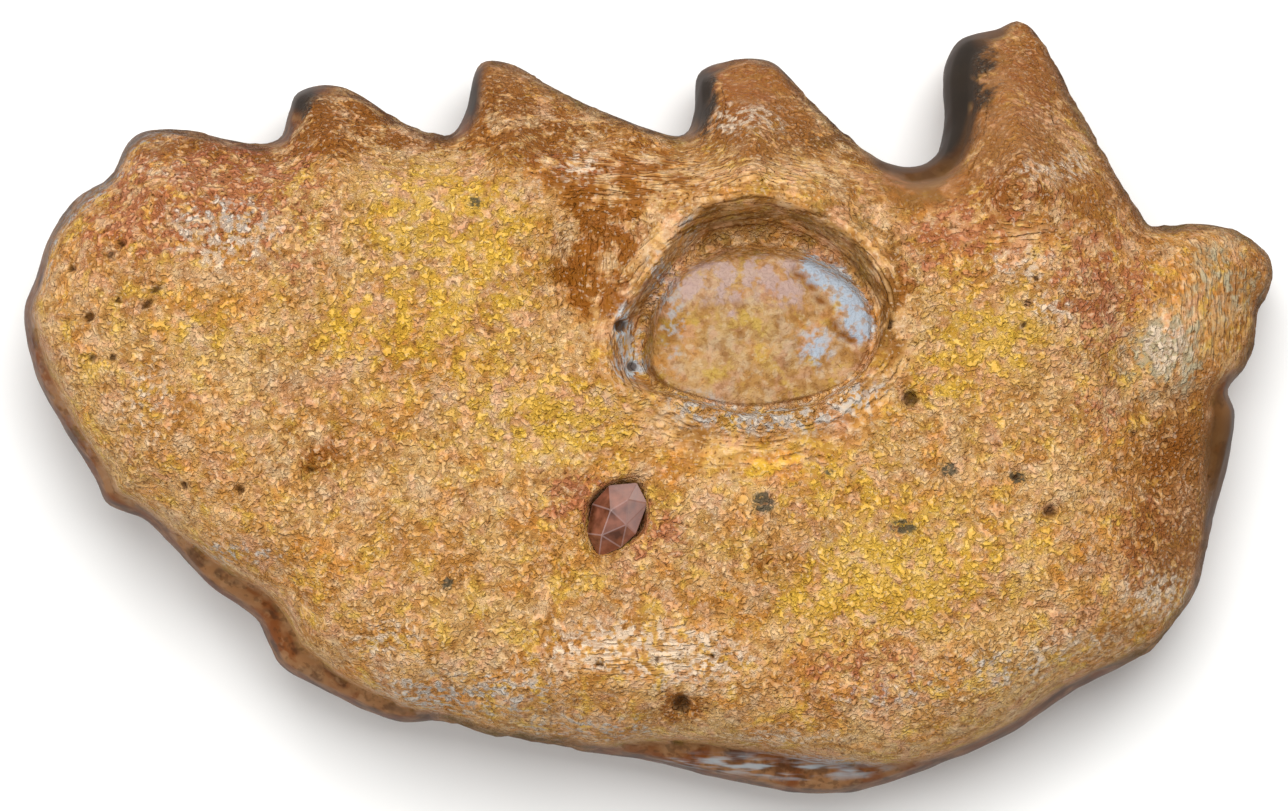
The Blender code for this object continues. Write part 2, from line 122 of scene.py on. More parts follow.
SWELLS = [
    (-1.9, 5.2, 1.6, 2.6, -1.1), (0.5, -1.6, 5.0, 1.2, -0.35), (-14.5, 5.0, 3.5, 2.2, 0.35),
    (-8.5, -1.0, 5.0, 3.0, -0.3), (-1.5, -9.6, 3.0, 1.6, 0.4), (9.0, -6.0, 4.5, 2.5, 0.3),
    (14.5, 3.5, 2.5, 2.0, 0.35), (17.6, 2.0, 0.9, 3.0, -0.5), (19.8, 3.2, 1.2, 2.4, 0.5),
    (18.6, -2.2, 1.3, 1.4, -0.6), (19.8, 0.3, 2.0, 0.5, -0.35), (-18.5, 3.0, 2.2, 3.2, 0.25),
    (3.6, 9.4, 0.9, 2.2, 0.9), (13.6, 9.6, 1.2, 3.2, 1.1), (-5.2, 9.8, 0.8, 2.0, 0.6),
    (-12.0, 9.6, 0.8, 1.6, 0.5),
]

# The scar of the broken ascending process: its rim and the domed core in it, clockwise from the left
SCAR_CENTRE = (3.9, 2.8)
SCAR_RIM = [
    (-1.4, 2.9), (0.0, 5.0), (1.7, 7.4), (3.9, 7.9), (6.2, 7.3), (8.1, 5.7), (8.8, 3.6),
    (8.1, 1.5), (6.2, 0.0), (3.6, -0.4), (1.2, 0.2), (-1.3, 0.9),
]
RIM_RISE = 0.35
RIM_SPREAD = 0.9
SCAR_DEPTH = 1.6
SCAR_FULL_WIDTH = 2.4
HOLLOW_DOWN_BY = 0.3
HOLLOW_UP_FROM = 0.45
RIM_FROM = 0.5
CORE_RIM = [
    (0.2, 1.9), (0.6, 3.6), (1.7, 4.9), (3.8, 5.4), (6.0, 5.1), (7.7, 3.9), (8.0, 2.4),
    (7.3, 1.1), (5.6, 0.4), (3.4, 0.15), (1.6, 0.5), (0.6, 1.0),
]
CORE_SUNK = 0.35
CORE_EDGE_SUNK = 0.85
CORE_LEAST_SUNK = 0.35
CORE_FADE = 0.35

# The chewing side, whose ridges run from the heel to the cusp tips, worn flat where they rest
HEEL = (11.0, -5.5)
HEEL_WEAR = 0.12
CREST_WEAR = 0.85
VALLEY_SHAPE = 1.35
CROWN_INSET = 0.3
HEEL_SMOOTHING = 5.5

# How finely each part of the surface is divided, from the scar's middle round to the heel
SPOKES = 620
CORE_RINGS = np.linspace(0.0, 1.0, 15)[1:]
HOLLOW_RINGS = np.linspace(0.0, 1.0, 21)[1:]
TABLE_RINGS = np.linspace(0.0, 1.0, 45)[1:] ** 1.15
CUSP_RINGS = np.linspace(0.0, 1.0, 21)[1:]
STEP_RINGS = np.linspace(0.0, 1.0, 7)[1:-1]
SIDE_RINGS = np.linspace(-1.0, 1.0, 15)
CROWN_RINGS = np.linspace(1.0, 0.0, 34)[1:-1] ** 0.85

# Pits of the bone: x, y, radius, depth
PITS = [
    (9.6, 0.3, 0.36, 0.4), (14.7, -3.8, 0.3, 0.35), (1.2, -11.0, 0.4, 0.45), (-18.5, 3.8, 0.26, 0.35),
    (-20.6, 3.3, 0.24, 0.3), (-21.3, 5.1, 0.2, 0.3), (-15.0, -3.0, 0.26, 0.3), (-1.0, 2.95, 0.26, 0.35),
    (-0.6, 1.5, 0.2, 0.3), (-1.8, -9.4, 0.2, 0.25), (-19.4, 6.0, 0.2, 0.3), (-19.8, 5.6, 0.18, 0.25),
    (-18.1, 4.3, 0.2, 0.25), (-19.7, 1.8, 0.18, 0.25), (-20.5, 1.8, 0.18, 0.25), (-19.5, 3.9, 0.16, 0.25),
    (-17.1, -2.9, 0.18, 0.25), (0.3, -9.2, 0.18, 0.25), (2.3, -9.2, 0.16, 0.25), (13.9, 3.8, 0.16, 0.25),
    (14.2, 4.7, 0.14, 0.2), (13.7, 3.0, 0.16, 0.25), (12.1, 3.1, 0.14, 0.2), (8.8, 3.0, 0.2, 0.35),
    (-12.4, -2.3, 0.18, 0.2), (-9.3, -1.5, 0.16, 0.2), (-6.9, -3.7, 0.14, 0.2), (15.0, 10.6, 0.14, 0.2),
    (17.3, -2.4, 0.18, 0.25), (17.9, -1.0, 0.16, 0.2), (13.5, -2.6, 0.16, 0.2), (12.2, -3.2, 0.14, 0.2),
]

# The crystal grain, and the pocket of bone that it sits in
GRAIN_CENTRE = (-1.2, -4.0)
GRAIN_HALF_LENGTH = 1.4
GRAIN_HALF_WIDTH = 0.95
GRAIN_TURN = 62
POCKET_DEPTH = 0.9
POCKET_SPARE = 0.16
POCKET_ROUNDNESS = 1.5
POCKET_LIP = 0.9
POCKET_LIP_WIDTH = 0.22

# The crack across the scar's core, the width over which it opens, and the painted highlight beside it, a
# blue-white patch
CORE_CRACK = [(5.3, 5.0), (5.9, 4.5), (6.3, 3.9), (6.6, 3.3), (7.0, 2.7), (7.5, 2.4)]
CRACK_WIDTH = 0.11
SCAR_HIGHLIGHT = [(6.0, 5.1), (6.9, 4.6), (7.5, 3.8), (7.8, 2.9)]
SCAR_HIGHLIGHT_WIDTH = 0.5


def smoothstep(amount):
    """Eased from 0 to 1 as the amount goes from 0 to 1."""
    amount = np.clip(amount, 0.0, 1.0)
    return amount * amount * (3.0 - 2.0 * amount)


def closed_curve(points, count):
    """Evenly spaced points on a smooth closed curve through these, anticlockwise from the left."""
    here = np.array(points)[::-1]
    before = np.roll(here, 1, axis=0)
    after = np.roll(here, -1, axis=0)
    beyond = np.roll(here, -2, axis=0)
    share = np.linspace(0.0, 1.0, 16, endpoint=False)[:, None, None]
    curve = here + 0.5 * share * (after - before)
    curve = curve + 0.5 * share**2 * (2 * before - 5 * here + 4 * after - beyond)
    curve = curve + 0.5 * share**3 * (3 * here - before - 3 * after + beyond)
    curve = curve.transpose(1, 0, 2).reshape(-1, here.shape[1])
    curve = np.vstack([curve, curve[:1]])
    steps = np.linalg.norm(np.diff(curve[:, :2], axis=0), axis=1)
    along = np.concatenate([[0.0], np.cumsum(steps)])
    wanted = np.linspace(0.0, along[-1], count, endpoint=False)
    return np.stack([np.interp(wanted, along, column) for column in curve.T], axis=1)


def relaxed(ring, width):
    """The closed ring averaged along itself over about this width in millimetres."""
    waves = np.fft.rfftfreq(len(ring), EDGE_LENGTH / len(ring))
    damping = np.exp(-2.0 * (math.pi * waves * width) ** 2)[:, None]
    return np.fft.irfft(np.fft.rfft(ring, axis=0) * damping, len(ring), axis=0)


def inward(ring):
    """Unit directions from an anticlockwise ring toward its inside."""
    along = np.roll(ring, -1, axis=0) - np.roll(ring, 1, axis=0)
    along = relaxed(along, DIRECTION_SMOOTHING)
    across = np.stack([-along[:, 1], along[:, 0]], axis=1)
    return across / np.linalg.norm(across, axis=1)[:, None]


def along_edge(ring):
    """The stations' two heights and root places, carried smoothly along every point of the ring."""
    steps = np.linalg.norm(np.roll(ring, -1, axis=0) - ring, axis=1)
    along = np.concatenate([[0.0], np.cumsum(steps)[:-1]])
    stations = []
    for x, y, *values in EDGE_STATIONS:
        nearest = np.argmin(np.hypot(ring[:, 0] - x, ring[:, 1] - y))
        stations.append((along[nearest], *values))
    at, *columns = np.array(sorted(stations)).T
    carried = [np.interp(along, at, column, period=steps.sum()) for column in columns]
    return relaxed(np.stack(carried, axis=1), STATION_SMOOTHING)


edge_table = closed_curve(CUSPED_EDGE + ROUND_EDGE, EDGE_SAMPLES)
edge_ring = edge_table[:, :2]
edge_ledge = np.maximum(relaxed(edge_table[:, 2:], LEDGE_SMOOTHING)[:, 0], 0.0)
edge_carried = along_edge(edge_ring)


def beside_edge(points):
    """Distance to the edge, and the ledge and upper edge height nearby."""
    apart = np.linalg.norm(points[:, None, :] - edge_ring[None, :, :], axis=2)
    weights = 1.0 / (apart**2 + EDGE_BLEND**2) ** 2
    weights /= weights.sum(axis=1)[:, None]
    return apart.min(axis=1), weights @ edge_ledge, weights @ edge_carried[:, 0]


def table_height(points):
    """The bone's surface away from its edge and its scar."""
    x, y = points.T
    height = TABLE_HEIGHT - TABLE_CROWN * ((x - TABLE_MIDDLE) / TABLE_HALF_LENGTH) ** 2
    height -= TABLE_CROWN * (y / TABLE_HALF_WIDTH) ** 2
    height -= CUSP_FALL * np.maximum(y - CUSP_FALL_FROM, 0.0) ** CUSP_FALL_CURVE
    height -= RIGHT_FALL * np.maximum(x - RIGHT_FALL_FROM, 0.0) ** RIGHT_FALL_CURVE
    for at_x, at_y, half_length, half_width, rise in SWELLS:
        height += rise * np.exp(-(((x - at_x) / half_length) ** 2) - ((y - at_y) / half_width) ** 2)
    return height


def scar_height(core, hollow, width, beyond):
    """What the scar adds, by the shares of the way out over its core and then across the hollow round it."""
    wide = smoothstep(width / SCAR_FULL_WIDTH)
    rising = smoothstep((hollow - HOLLOW_UP_FROM) / (1.0 - HOLLOW_UP_FROM))
    floor = smoothstep(hollow / HOLLOW_DOWN_BY) * (1.0 - rising)
    raised = RIM_RISE * smoothstep((hollow - RIM_FROM) / (1.0 - RIM_FROM))
    raised = raised * np.exp(-((beyond / RIM_SPREAD) ** 2))
    core_edge = CORE_EDGE_SUNK * (CORE_LEAST_SUNK + (1.0 - CORE_LEAST_SUNK) * wide)
    sunk = CORE_SUNK + (core_edge - CORE_SUNK) * core**2
    sunk = sunk * (1.0 - smoothstep((hollow - HOLLOW_DOWN_BY) / (1.0 - HOLLOW_DOWN_BY)))
    return raised - sunk - floor * SCAR_DEPTH * wide


def bone_height(points):
    """The height of the bone side without its scar, over the crown's ledge where that stands out."""
    apart, ledge, above = beside_edge(points)
    over = apart - ledge
    standing_out = smoothstep(ledge / LEDGE_FULL)
    outward = 1.0 - np.clip(apart / np.maximum(ledge, SHOULDER_RUN), 0.0, 1.0)
    bulge = (SHOULDER_RISE + LEDGE_RISE * standing_out) * np.sqrt(1.0 - outward**2)
    shoulder = above + bulge + CROWN_STEP * standing_out * smoothstep(over / CROWN_STEP_RUN)
    rounded = np.sqrt(1.0 - (1.0 - np.clip(over / ROLL_OFF, 0.0, 1.0)) ** 2)
    return shoulder + (table_height(points) - shoulder) * rounded


def facing(curve, turn):
    """The points of a closed curve that lie in these directions from the scar's centre."""
    ring = closed_curve(curve, EDGE_SAMPLES)
    at = np.arctan2(*(ring - SCAR_CENTRE).T[::-1])
    return np.stack([np.interp(turn, at, column, period=math.tau) for column in ring.T], axis=1)


every_spoke = np.linspace(0, EDGE_SAMPLES, SPOKES, endpoint=False)
around = np.arange(EDGE_SAMPLES)
edge_columns = np.column_stack([edge_ring, edge_ledge, edge_carried])
spoke_columns = np.stack(
    [np.interp(every_spoke, around, column, period=EDGE_SAMPLES) for column in edge_columns.T], axis=1
)
outline = spoke_columns[:, :2]
ledge = spoke_columns[:, 2]
above = spoke_columns[:, 3]
below = spoke_columns[:, 4]
root = spoke_columns[:, 5:]
into = inward(outline)

turn = np.arctan2(*(root - SCAR_CENTRE).T[::-1])
core = facing(CORE_RIM, turn)
rim = facing(SCAR_RIM, turn)
width = np.linalg.norm(rim - core, axis=1)
bone_edge = outline + into * (ledge + CROWN_STEP_RUN + STEP_CLEARANCE)[:, None]

# From the scar's peak out over the bone, down the side and in under the crown to the heel, each ring is
# its points, their heights, and how far they belong to the scar's core and to the crown
plate_rings = []
for share in CORE_RINGS:
    points = SCAR_CENTRE + (core - SCAR_CENTRE) * share
    plate_rings.append((points, bone_height(points) + scar_height(share, 0.0, width, 0.0), 1.0, 0.0))
for share in HOLLOW_RINGS:
    points = core + (rim - core) * share
    in_core = float(1.0 - smoothstep(share / CORE_FADE))
    plate_rings.append((points, bone_height(points) + scar_height(1.0, share, width, 0.0), in_core, 0.0))
spread = [rim * (1.0 - share) + root * share for share in TABLE_RINGS]
for share in CUSP_RINGS:
    spread.append(root * (1.0 - share) + relaxed(bone_edge, 1.0 - share) * share)
foot = outline + into * (EDGE_ROUNDING + FOOT_INSET)
for share in STEP_RINGS:
    spread.append(bone_edge * (1.0 - share) + foot * share)
for points in spread:
    beyond = np.linalg.norm(points - rim, axis=1)
    apart, near_ledge, _ = beside_edge(points)
    on_crown = 1.0 - smoothstep((apart - near_ledge) / CROWN_STEP_RUN + ENAMEL_UP_THE_STEP)
    height = bone_height(points) + scar_height(1.0, 1.0, width, beyond)
    plate_rings.append((points, height, 0.0, on_crown * smoothstep(near_ledge / LEAST_LEDGE)))
brink = bone_height(outline + into * EDGE_ROUNDING)
widest = WIDEST_SHARE * above + (1.0 - WIDEST_SHARE) * below
for share in SIDE_RINGS:
    points = outline + into * (EDGE_ROUNDING * abs(share) ** EDGE_SQUARENESS)
    height = widest + (brink - widest) * max(-share, 0.0) + (below - widest) * max(share, 0.0)
    below_bone = smoothstep((share - ENAMEL_FROM) / ENAMEL_FADE)
    plate_rings.append((points, height, 0.0, np.maximum(below_bone, smoothstep(ledge / LEAST_LEDGE))))
inner = outline + into * (EDGE_ROUNDING + CROWN_INSET)
for share in CROWN_RINGS:
    points = np.array(HEEL) * (1.0 - share) + relaxed(inner, HEEL_SMOOTHING * (1.0 - share)) * share
    worn = HEEL_WEAR + CREST_WEAR * math.sin(math.pi * share * share)
    plate_rings.append((points, np.maximum(below * share**VALLEY_SHAPE - worn, 0.0), 0.0, 1.0))
heel_ring = (np.tile(HEEL, (SPOKES, 1)), np.zeros(SPOKES), 0.0, 1.0)
peak_ring = (np.tile(SCAR_CENTRE, (SPOKES, 1)), bone_height(np.array([SCAR_CENTRE])) - CORE_SUNK, 1.0, 0.0)
plate_rings = [peak_ring, *plate_rings, heel_ring]

# A ball whose rings are moved onto the plate's surface
last_ring = len(plate_rings) - 1
ball = bmesh.new()
bmesh.ops.create_uvsphere(ball, u_segments=SPOKES, v_segments=last_ring, radius=1.0)
plate_mesh = bpy.data.meshes.new("fossil_plate")
ball.to_mesh(plate_mesh)
ball.free()
ball_points = np.empty(len(plate_mesh.vertices) * 3)
plate_mesh.vertices.foreach_get("co", ball_points)
ball_points = ball_points.reshape(-1, 3)
down = np.rint(np.arccos(np.clip(ball_points[:, 2], -1.0, 1.0)) / math.pi * last_ring).astype(int)
round_about = np.arctan2(ball_points[:, 1], ball_points[:, 0]) / math.tau + 0.5
spoke = np.rint(round_about * SPOKES).astype(int) % SPOKES
placed = np.array([
    np.column_stack([points, np.broadcast_to(height, SPOKES)]) for points, height, _, _ in plate_rings
])
in_core = np.array([np.broadcast_to(share, SPOKES) for _, _, share, _ in plate_rings])[down, spoke]
on_crown = np.array([np.broadcast_to(share, SPOKES) for _, _, _, share in plate_rings])[down, spoke]
surface = placed[down, spoke]
bone_side = len(CORE_RINGS) + len(HOLLOW_RINGS) + len(TABLE_RINGS) + len(CUSP_RINGS) + len(STEP_RINGS)
top_side = down <= bone_side + len(SIDE_RINGS) // 2
resting = surface[:, 2] <= 0.0


def blobs(spots):
    """How strongly each point lies in these soft ovals: x, y, half length, half width, amount."""
    found = np.zeros(len(surface))
    for x, y, half_length, half_width, amount in spots:
        away = ((surface[:, 0] - x) / half_length) ** 2 + ((surface[:, 1] - y) / half_width) ** 2
        found += amount * np.exp(-away)
    return np.clip(found, 0.0, 1.0) * top_side


def noise_at(size, stretch=(1.0, 1.0, 1.0)):
    """Smooth noise from -1 to 1 at every point of the surface, of this size in millimetres."""
    scaled = surface * np.array(stretch) / size
    return np.array([noise.noise(Vector(point)) for point in scaled])


def away_from(route):
    """Distance in plan from every point of the surface to a route of straight stretches."""
    nearest = np.full(len(surface), np.inf)
    for start, end in zip(route[:-1], route[1:]):
        start = np.array(start)
        step = np.array(end) - start
        share = np.clip((surface[:, :2] - start) @ step / (step @ step), 0.0, 1.0)
        nearest = np.minimum(nearest, np.linalg.norm(surface[:, :2] - start - share[:, None] * step, axis=1))
    return nearest


# Where the bone is drawn out in fibres, where it is polished smooth, and where it crumbles. The scar's core
# and the crown are smooth too
FIBRES_ALONG = [
    (-1.0, 8.3, 3.6, 1.2, 1.0), (5.0, 8.6, 4.0, 0.8, 0.8), (13.5, 6.4, 3.0, 0.9, 0.7),
    (2.0, -1.8, 5.0, 1.0, 0.5), (-0.2, -9.2, 3.6, 1.3, 0.85),
]
FIBRES_DOWN = [(20.6, 3.4, 2.2, 2.6, 1.0), (-1.8, 5.0, 1.4, 2.2, 0.8), (16.0, 8.2, 1.6, 1.6, 0.4)]
POLISHED_BONE = [(10.0, 8.2, 1.8, 1.0, 1.0), (12.4, 11.6, 1.8, 2.6, 0.6), (3.4, 11.8, 1.8, 1.2, 0.5)]
CRUMBLY_BONE = [
    (4.4, -0.5, 3.2, 0.5, 1.0), (7.9, 0.7, 0.8, 0.8, 0.8), (-0.9, 2.2, 0.7, 1.8, 0.8),
    (0.4, 5.0, 0.5, 1.4, 0.6), (-6.0, -10.4, 4.0, 0.9, 0.8), (-14.6, 6.6, 3.0, 1.4, 0.6),
    (0.0, -9.2, 3.4, 1.0, 0.6),
]
CORE_POLISH = 0.75
fibres_along = blobs(FIBRES_ALONG)
fibres_down = blobs(FIBRES_DOWN)
polished = np.clip(CORE_POLISH * in_core + on_crown + blobs(POLISHED_BONE), 0.0, 1.0)
crumbly = blobs(CRUMBLY_BONE)

# The relief's lumps, roughness, fibres and crumbs: the height and size of each, and how fibres are drawn out
LUMP_HEIGHT, LUMP_SIZE = 0.11, 1.7
SMALL_LUMP_HEIGHT, SMALL_LUMP_SIZE = 0.09, 0.8
ROUGH_HEIGHT, ROUGH_SIZE = 0.09, 0.45
FIBRE_HEIGHT, FIBRE_SIZE = 0.07, 0.4
DRAWN_ALONG = (0.22, 1.6, 1.0)
DRAWN_DOWN = (1.5, 0.25, 1.0)
CRUMB_HEIGHT, CRUMB_SIZE = 0.16, 0.38
lumps = LUMP_HEIGHT * noise_at(LUMP_SIZE) + SMALL_LUMP_HEIGHT * noise_at(SMALL_LUMP_SIZE)
roughening = ROUGH_HEIGHT * noise_at(ROUGH_SIZE)
striping = FIBRE_HEIGHT * fibres_along * noise_at(FIBRE_SIZE, DRAWN_ALONG)
striping += FIBRE_HEIGHT * fibres_down * noise_at(FIBRE_SIZE, DRAWN_DOWN)
crumbling = CRUMB_HEIGHT * crumbly * noise_at(CRUMB_SIZE)

# Thin laminae run round the scar's hollow: waves round it and across it, and where the hollow starts and
# ends as a share of the scar's half size
LAMINA_HEIGHT = 0.05
LAMINAE_ROUND = 2.2
LAMINAE_ACROSS = 21.0
SCAR_HALF_SIZE = (4.6, 4.1)
HOLLOW_STARTS, HOLLOW_START_FADE = 0.86, 0.14
HOLLOW_ENDS, HOLLOW_END_FADE = 1.12, 0.3
from_scar = (surface[:, :2] - SCAR_CENTRE) / SCAR_HALF_SIZE
out_of_scar = np.hypot(*from_scar.T)
direction = from_scar / np.maximum(out_of_scar, 0.1)[:, None]
round_scar = np.column_stack([LAMINAE_ROUND * direction, LAMINAE_ACROSS * out_of_scar])
laminae = np.array([noise.noise(Vector(point)) for point in round_scar])
hollow = smoothstep((out_of_scar - HOLLOW_STARTS) / HOLLOW_START_FADE)
hollow *= (1.0 - smoothstep((out_of_scar - HOLLOW_ENDS) / HOLLOW_END_FADE)) * top_side
striping += LAMINA_HEIGHT * hollow * laminae

# Polished bone keeps only part of its lumps
LUMPS_POLISHED_OFF = 0.6
relief = lumps * (1.0 - LUMPS_POLISHED_OFF * polished)
relief += (roughening + striping + crumbling) * (1.0 - polished)

# The vessel holes, the crack and the crystal's pocket are sunk into it
CRACK_DEPTH = 0.3
# The holes' mask, also kept for the painted shade in them
pit_shade = np.zeros(len(surface))
for x, y, radius, depth in PITS:
    away = np.hypot(surface[:, 0] - x, surface[:, 1] - y) / radius
    hole = np.exp(-(away**4))
    relief -= depth * hole
    pit_shade = np.maximum(pit_shade, hole)
cracked = np.exp(-((away_from(CORE_CRACK) / CRACK_WIDTH) ** 2)) * top_side
relief -= CRACK_DEPTH * cracked
turned = Matrix.Rotation(-math.radians(GRAIN_TURN), 2)
grain_plan = (surface[:, :2] - GRAIN_CENTRE) @ np.array(turned).T
grain_plan = np.abs(grain_plan) / (GRAIN_HALF_LENGTH + POCKET_SPARE, GRAIN_HALF_WIDTH + POCKET_SPARE)
off_grain = (grain_plan**POCKET_ROUNDNESS).sum(axis=1) ** (1.0 / POCKET_ROUNDNESS)
pocket = (1.0 - smoothstep((off_grain - POCKET_LIP) / POCKET_LIP_WIDTH)) * top_side
relief -= POCKET_DEPTH * pocket

# How far each point lies from the edge, worked out in batches
POINTS_AT_ONCE = 4000
batches = range(0, len(surface), POINTS_AT_ONCE)
from_edge = np.concatenate([beside_edge(surface[at:at + POINTS_AT_ONCE, :2])[0] for at in batches])

# The relief stands out of the surface, mostly upward on the bone, and the worn facets that the plate
# rests on stay flat
LEAN_OF_RELIEF = 0.35
plate_mesh.vertices.foreach_set("co", (surface * MM).ravel())
plate_mesh.update()
facing_out = np.empty(len(surface) * 3)
plate_mesh.vertex_normals.foreach_get("vector", facing_out)
facing_out = facing_out.reshape(-1, 3)
facing_out[down <= bone_side, :2] *= LEAN_OF_RELIEF
surface = surface + facing_out * (relief * ~resting)[:, None]
surface[:, 2] = np.maximum(surface[:, 2], 0.0)
plate_mesh.vertices.foreach_set("co", (surface * MM).ravel())
plate_mesh.polygons.foreach_set("use_smooth", np.ones(len(plate_mesh.polygons), bool))
plate_mesh.update()

